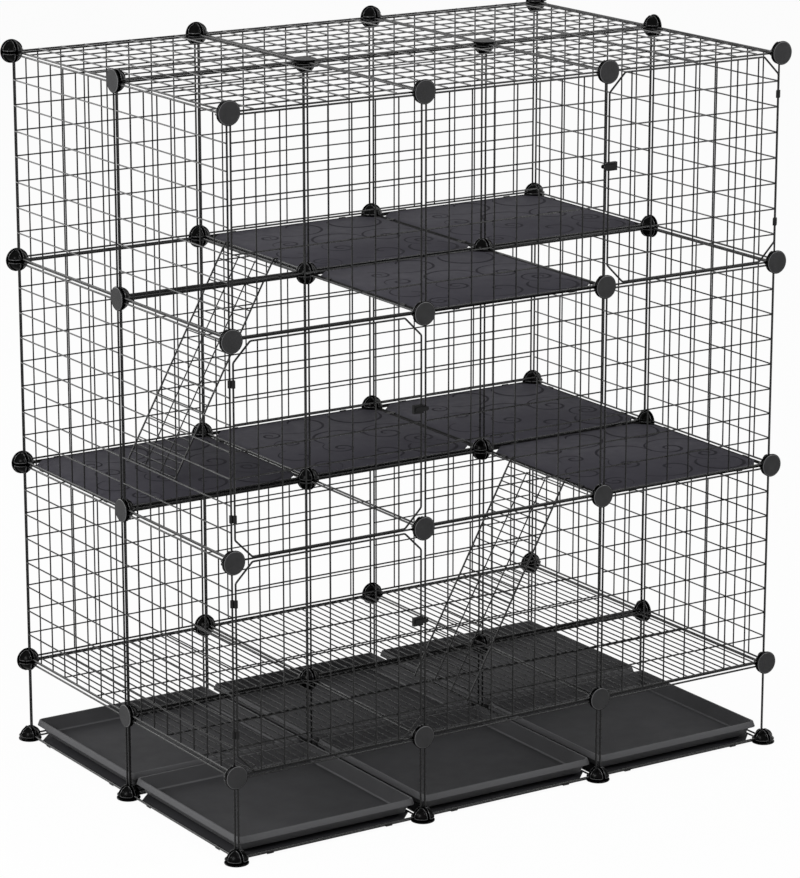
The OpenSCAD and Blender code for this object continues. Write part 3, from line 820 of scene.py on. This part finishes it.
def ramp_form(foot):
    """A ladder along its own Z: two outer wires that end in a quarter-turn hook, rungs, and two
    inner wires; then leant so that it hooks on at height 0 and stands at the foot's height."""
    angle = math.pi / 2 + RAMP_SLOPE
    start = np.array([HOOK_R * math.cos(angle), 0, HOOK_R * math.sin(angle)])
    end_z = foot + RAMP_PLAY + RAMP_WIRE / 2 * math.cos(RAMP_SLOPE)
    length = (start[2] - end_z) / math.sin(RAMP_SLOPE)
    half = RAMP_W / 2

    a = np.radians(np.linspace(-90, 0, HOOK_STEPS))
    hook = np.stack([-HOOK_R + HOOK_R * np.cos(a), 0 * a, HOOK_R * np.sin(a)], 1)
    rail = np.concatenate([hook, [[0, 0, length]]])
    rails = [wire(rail + [0, s * half, 0], RAMP_WIRE, (0, 1, 0)) for s in (-1, 1)]

    z = RUNG_START + (length - RUNG_START - END_ROOM) / (RUNGS - 1) * np.arange(RUNGS)
    sunk = np.zeros(RUNGS)
    sunk[[0, -1]] = RUNG_WIRE / 2
    rungs = rods(np.stack([-sunk, 0 * z - half, z], 1), np.stack([-sunk, 0 * z + half, z], 1),
                 RUNG_WIRE)

    inner = [(-RUNG_WIRE - LAYER_GAP, s * RAMP_W / 6) for s in (-1, 1)]
    low, high = RUNG_START - END_ROOM / 2, length - END_ROOM / 2
    inner_wires = rods([(x, y, low) for x, y in inner], [(x, y, high) for x, y in inner],
                       RUNG_WIRE)
    spots = [(x / 2, y, v) for x, y in inner for v in z]
    spots += [(0, s * (half - RAMP_WIRE / 2), v) for s in (-1, 1) for v in z]
    welds = beads(spots, RUNG_WELD_R, RUNG_WELD_TALL)
    form = join(*rails, rungs, inner_wires, welds)
    return at_places(form, [(turned(270 - math.degrees(RAMP_SLOPE), "y"), start)])


RAMPS = {"upper_ramp": (1, 1.5, 2, ON_SHEET), "lower_ramp": (2, 0.5, 1, ON_GRID)}
for node, (x, y, k, rest) in RAMPS.items():
    spot = place(FLAT, post_x(x), post_y(y), level(k))
    make_piece(node + "_wires", [(at_places(ramp_form(rest - PITCH), [spot]), WIRE_PAINT)], [node])

# The doors' clips, plates and buttons keep their own solids
for node, solid in frame["nodes"].items():
    if node.endswith(("_hinge_clips", "_latch_plate", "_turn_button")):
        solid.data.materials.clear()
        solid.data.materials.append(LATCH_PLASTIC)

# Floor, light and camera
SKY_LIGHT = 0.3
FLOOR_REACH = 30.0
FLOOR_COLOUR = (0.85, 0.85, 0.85, 1)
FLOOR_GLOW = 0.96


def seen_directly(nodes, links):
    """One where a camera, glossy or transmission ray looks, else zero."""
    path = nodes.new("ShaderNodeLightPath")
    value = path.outputs["Is Camera Ray"]
    for kind in ("Is Glossy Ray", "Is Transmission Ray"):
        larger = nodes.new("ShaderNodeMath")
        larger.operation = "MAXIMUM"
        links.new(value, larger.inputs[0])
        links.new(path.outputs[kind], larger.inputs[1])
        value = larger.outputs[0]
    return value


floor_mesh = bpy.data.meshes.new("studio_floor")
floor_corners = [(x, y, 0) for x, y in rectangle(2 * FLOOR_REACH, 2 * FLOOR_REACH)]
floor_mesh.from_pydata(floor_corners, [], [(0, 1, 2, 3)])
floor = bpy.data.objects.new("studio_floor", floor_mesh)
bpy.context.scene.collection.objects.link(floor)
floor_finish, nodes, links, shader = finish_nodes("white_floor")
nodes.remove(shader)
paper = nodes.new("ShaderNodeBsdfDiffuse")
paper.inputs["Color"].default_value = FLOOR_COLOUR
glow = nodes.new("ShaderNodeEmission")
share = nodes.new("ShaderNodeMath")
share.operation = "MULTIPLY"
share.inputs[1].default_value = FLOOR_GLOW
links.new(seen_directly(nodes, links), share.inputs[0])
blend = nodes.new("ShaderNodeMixShader")
links.new(share.outputs[0], blend.inputs["Fac"])
links.new(paper.outputs[0], blend.inputs[1])
links.new(glow.outputs[0], blend.inputs[2])
links.new(blend.outputs[0], nodes["Material Output"].inputs["Surface"])
floor_mesh.materials.append(floor_finish)

world = bpy.data.worlds.new("studio")
bpy.context.scene.world = world
world.use_nodes = True
nodes, links = world.node_tree.nodes, world.node_tree.links
sky = nodes["Background"]
sky.inputs["Color"].default_value = (1, 1, 1, 1)
strength = spread(nodes, links, seen_directly(nodes, links), 0, 1, SKY_LIGHT, 1)
links.new(strength, sky.inputs["Strength"])


def facing(spot, back):
    """The place of a lamp or camera at spot that looks along minus back, its top to the sky."""
    back = back / np.linalg.norm(back)
    side = np.cross([0, 0, 1], back)
    side /= np.linalg.norm(side)
    up = np.cross(back, side)
    return Matrix(np.vstack([np.column_stack([side, up, back, spot]), [0, 0, 0, 1]]).tolist())


def soft_lamp(name, spot, aim, size, power):
    lamp = bpy.data.lights.new(name, "AREA")
    lamp.shape = "SQUARE"
    lamp.size = size
    lamp.energy = power
    holder = bpy.data.objects.new(name, lamp)
    bpy.context.scene.collection.objects.link(holder)
    holder.matrix_world = facing(spot, np.subtract(spot, aim))


soft_lamp("key_light", (-2.9, -1.0, 1.95), (0, 0, 0.6), 1.3, 67)
soft_lamp("fill_light", (1.9, -1.9, 2.8), (0, 0, 0.8), 1.3, 52)
soft_lamp("back_light", (-2.4, 4.6, 2.4), (0, 0, 0.6), 2.4, 110)

bpy.context.scene.view_settings.view_transform = "Standard"

CAMERA_AZIMUTH = math.radians(-32.95)
CAMERA_ELEVATION = math.radians(14.875)
CAMERA_DISTANCE = 6.387
CAMERA_TARGET = np.array([0.0057, -0.0037, 0.5444])
CAMERA_FOCUS_PX = 3735.4
PHOTO_LONG_SIDE = 878
SENSOR_WIDTH = 36
camera_data = bpy.data.cameras.new("camera")
camera_data.sensor_width = SENSOR_WIDTH
camera_data.lens = CAMERA_FOCUS_PX * SENSOR_WIDTH / PHOTO_LONG_SIDE
camera = bpy.data.objects.new("camera", camera_data)
bpy.context.scene.collection.objects.link(camera)
camera_back = np.array([math.sin(CAMERA_AZIMUTH) * math.cos(CAMERA_ELEVATION),
                        -math.cos(CAMERA_AZIMUTH) * math.cos(CAMERA_ELEVATION),
                        math.sin(CAMERA_ELEVATION)])
camera.matrix_world = facing(CAMERA_TARGET + CAMERA_DISTANCE * camera_back, camera_back)
bpy.context.scene.camera = camera
